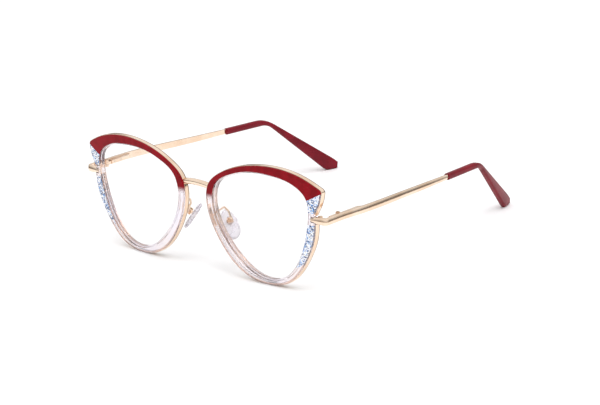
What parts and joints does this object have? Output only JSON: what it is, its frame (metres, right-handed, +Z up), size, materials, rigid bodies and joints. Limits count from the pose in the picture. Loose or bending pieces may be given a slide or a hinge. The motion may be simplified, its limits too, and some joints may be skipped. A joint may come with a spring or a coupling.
{
  "type": "eyeglasses",
  "caption": "Cat-eye eyeglasses: gold metal front with moulded plastic inner rims, clear lenses, sprung folding temples, plastic tips and adjustable nose pads.",
  "frame": {"origin": "on the table under the middle of the whole frame's box, with the temples open", "axes": "+Z up off the table, -Y the way the wearer looks, +X to the wearer's left"},
  "size_m": [0.1442, 0.1479, 0.0523],
  "materials": {
    "gold_metal": "polished rose-gold plate on nickel silver",
    "screw_metal": "gold-coloured small screws",
    "spring_steel": "drawn steel wire and pins",
    "rim_plastic": "clear plastic, dark red enamel over its upper half",
    "glitter_panel": "silver and lilac glitter under clear varnish",
    "lens_plastic": "clear polished",
    "pad_silicone": "clear soft silicone",
    "tip_plastic": "satin dark red, darker bevels"
  },
  "bodies": {
    "front": {"bridge": "gold_metal", "eyewire_left": "gold_metal", "inner_rim_left": "rim_plastic", "glitter_panel_left": "glitter_panel", "lens_left": "lens_plastic", "endpiece_left": "gold_metal", "rim_lock_left": "gold_metal", "rim_lock_screw_left": "screw_metal", "hinge_fork_left": "gold_metal", "hinge_screw_left": "screw_metal", "pad_arm_left": "gold_metal", "pad_box_left": "gold_metal", "pad_screw_left": "screw_metal", "eyewire_right": "gold_metal", "inner_rim_right": "rim_plastic", "glitter_panel_right": "glitter_panel", "lens_right": "lens_plastic", "endpiece_right": "gold_metal", "rim_lock_right": "gold_metal", "rim_lock_screw_right": "screw_metal", "hinge_fork_right": "gold_metal", "hinge_screw_right": "screw_metal", "pad_arm_right": "gold_metal", "pad_box_right": "gold_metal", "pad_screw_right": "screw_metal"},
    "slider_left": {"hinge_slider_left": "gold_metal"},
    "temple_left": {"temple_left": "gold_metal", "temple_tip_left": "tip_plastic", "hinge_housing_left": "gold_metal", "housing_pins_left": "spring_steel", "hinge_spring_left": "spring_steel"},
    "pad_left": {"nose_pad_left": "pad_silicone", "pad_insert_left": "gold_metal"},
    "slider_right": {"hinge_slider_right": "gold_metal"},
    "temple_right": {"temple_right": "gold_metal", "temple_tip_right": "tip_plastic", "hinge_housing_right": "gold_metal", "housing_pins_right": "spring_steel", "hinge_spring_right": "spring_steel"},
    "pad_right": {"nose_pad_right": "pad_silicone", "pad_insert_right": "gold_metal"}
  },
  "joints": [
    {"name": "fold_left", "type": "hinge", "parent": "front", "child": "slider_left", "pos_m": [0.0691, -0.0606, 0.0328], "axis": [0, 0, 1], "range_deg": [0, 84.5]},
    {"name": "spring_left", "type": "slide", "parent": "slider_left", "child": "temple_left", "axis": [0, 1, 0], "range_m": [0, 0.001], "stiffness_N_per_m": 1500, "springref_m": -0.001, "deforming": ["hinge_spring_left"]},
    {"name": "rock_left", "type": "hinge", "parent": "front", "child": "pad_left", "pos_m": [0.01186, -0.06572, 0.02184], "axis": [-0.4585, -0.8809, -0.1174], "range_deg": [-8, 8]},
    {"name": "fold_right", "type": "hinge", "parent": "front", "child": "slider_right", "pos_m": [-0.0691, -0.0606, 0.0328], "axis": [0, 0, -1], "range_deg": [0, 81]},
    {"name": "spring_right", "type": "slide", "parent": "slider_right", "child": "temple_right", "axis": [0, 1, 0], "range_m": [0, 0.001], "stiffness_N_per_m": 1500, "springref_m": -0.001, "deforming": ["hinge_spring_right"]},
    {"name": "rock_right", "type": "hinge", "parent": "front", "child": "pad_right", "pos_m": [-0.01186, -0.06572, 0.02184], "axis": [0.4585, -0.8809, -0.1174], "range_deg": [-8, 8]}
  ]
}
